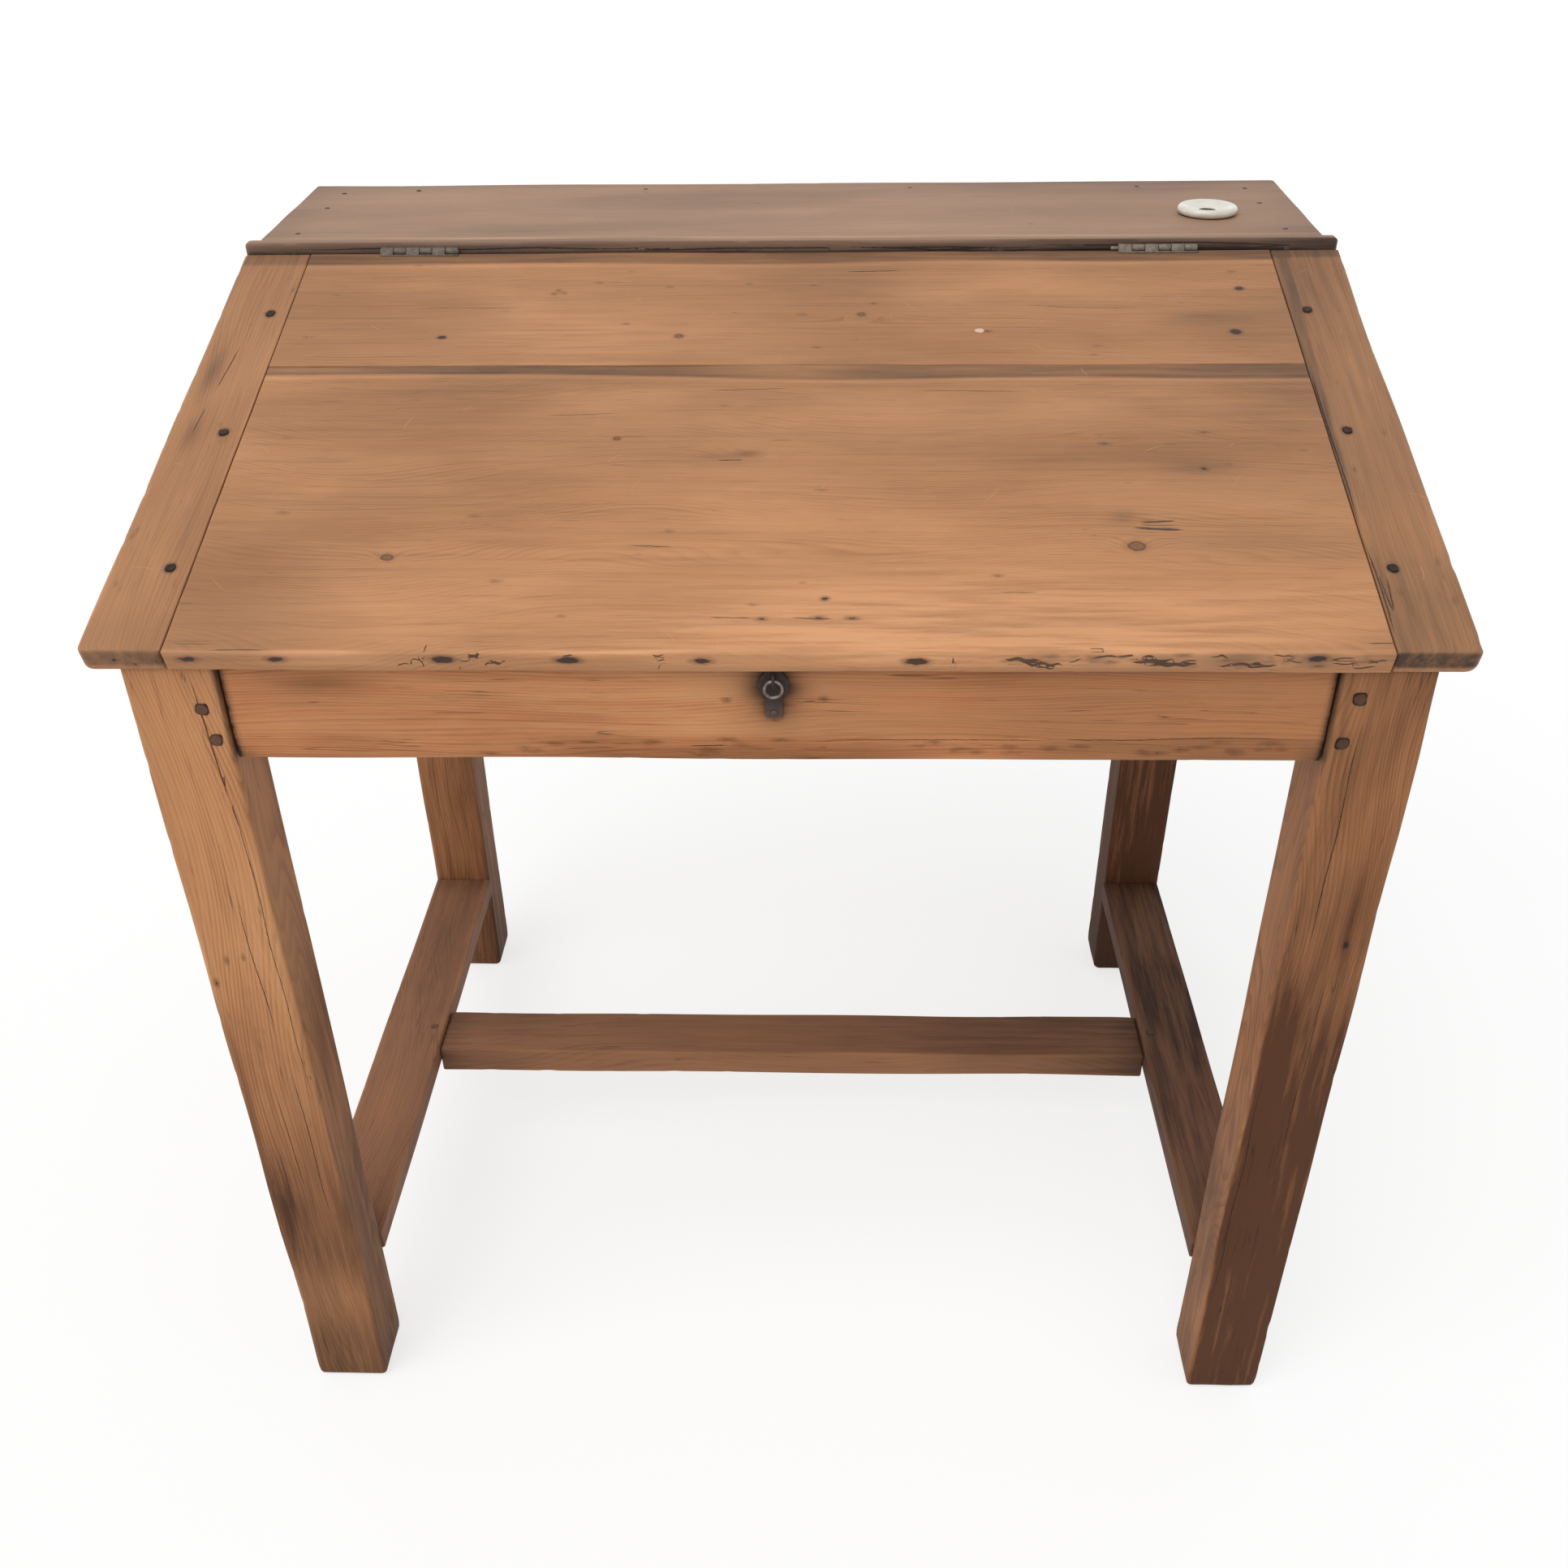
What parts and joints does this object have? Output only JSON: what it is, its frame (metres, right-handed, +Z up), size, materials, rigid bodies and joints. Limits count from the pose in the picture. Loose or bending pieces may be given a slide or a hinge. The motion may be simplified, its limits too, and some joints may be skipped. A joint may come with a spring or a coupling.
{
  "type": "slope-top desk",
  "caption": "Old pine desk with a hinged sloping lid over a storage box, a rear shelf with a lift-out inkwell, a ring pull, and square legs tied by low stretchers.",
  "frame": {"origin": "on the floor, under the middle of the desk's outline", "axes": "+X to the sitter's right, +Y to the rear, +Z up"},
  "size_m": [0.92, 0.698, 0.914],
  "materials": {
    "lid_pine": "worn satin, honey pine",
    "frame_pine": "worn satin, aged pine",
    "stretcher_pine": "worn matt, dark aged pine",
    "inner_pine": "bare pine",
    "shelf_pine": "worn matt, grey-brown pine",
    "peg_wood": "dark end grain",
    "nail_iron": "dark iron",
    "hinge_steel": "dull worn steel",
    "pull_iron": "blackened iron",
    "ring_steel": "rubbed steel",
    "white_glaze": "crazed white glaze"
  },
  "bodies": {
    "frame": {"front_left_leg": "frame_pine", "front_right_leg": "frame_pine", "rear_left_leg": "frame_pine", "rear_right_leg": "frame_pine", "front_apron": "frame_pine", "left_side_panel": "frame_pine", "right_side_panel": "frame_pine", "back_panel": "frame_pine", "left_side_stretcher": "stretcher_pine", "right_side_stretcher": "stretcher_pine", "cross_stretcher": "stretcher_pine", "front_bearer": "inner_pine", "back_bearer": "inner_pine", "left_bearer": "inner_pine", "right_bearer": "inner_pine", "floor_board_front": "inner_pine", "floor_board_middle": "inner_pine", "floor_board_rear": "inner_pine", "shelf": "shelf_pine", "hinge_rail": "shelf_pine", "front_leg_pegs": "peg_wood", "side_panel_pegs": "peg_wood", "back_panel_pegs": "peg_wood", "stretcher_pegs": "peg_wood", "shelf_nails": "nail_iron", "rail_nails": "nail_iron", "floor_nails": "nail_iron", "pull_nail": "nail_iron", "left_hinge_rail_leaf": "hinge_steel", "right_hinge_rail_leaf": "hinge_steel", "left_hinge_pin": "hinge_steel", "right_hinge_pin": "hinge_steel", "rail_leaf_screws": "hinge_steel", "pull_plate": "pull_iron", "pull_eye": "pull_iron"},
    "lid": {"lid_lower_board": "lid_pine", "lid_upper_board": "lid_pine", "left_cleat": "lid_pine", "right_cleat": "lid_pine", "lid_pegs": "peg_wood", "left_hinge_lid_leaf": "hinge_steel", "right_hinge_lid_leaf": "hinge_steel", "lid_leaf_screws": "hinge_steel"},
    "pull_ring": {"pull_ring": "ring_steel"},
    "inkwell": {"inkwell": "white_glaze"}
  },
  "joints": [
    {"name": "lid_hinge", "type": "hinge", "parent": "frame", "child": "lid", "pos_m": [0, 0.11759, 0.9], "axis": [-1, 0, 0], "range_deg": [0, 115]},
    {"name": "ring_swing", "type": "hinge", "parent": "frame", "child": "pull_ring", "pos_m": [0, -0.34289, 0.73624], "axis": [-1, 0, 0], "range_deg": [-12, 90]},
    {"name": "inkwell_lift", "type": "slide", "parent": "frame", "child": "inkwell", "axis": [0, 0, 1], "range_m": [0, 0.06]}
  ]
}
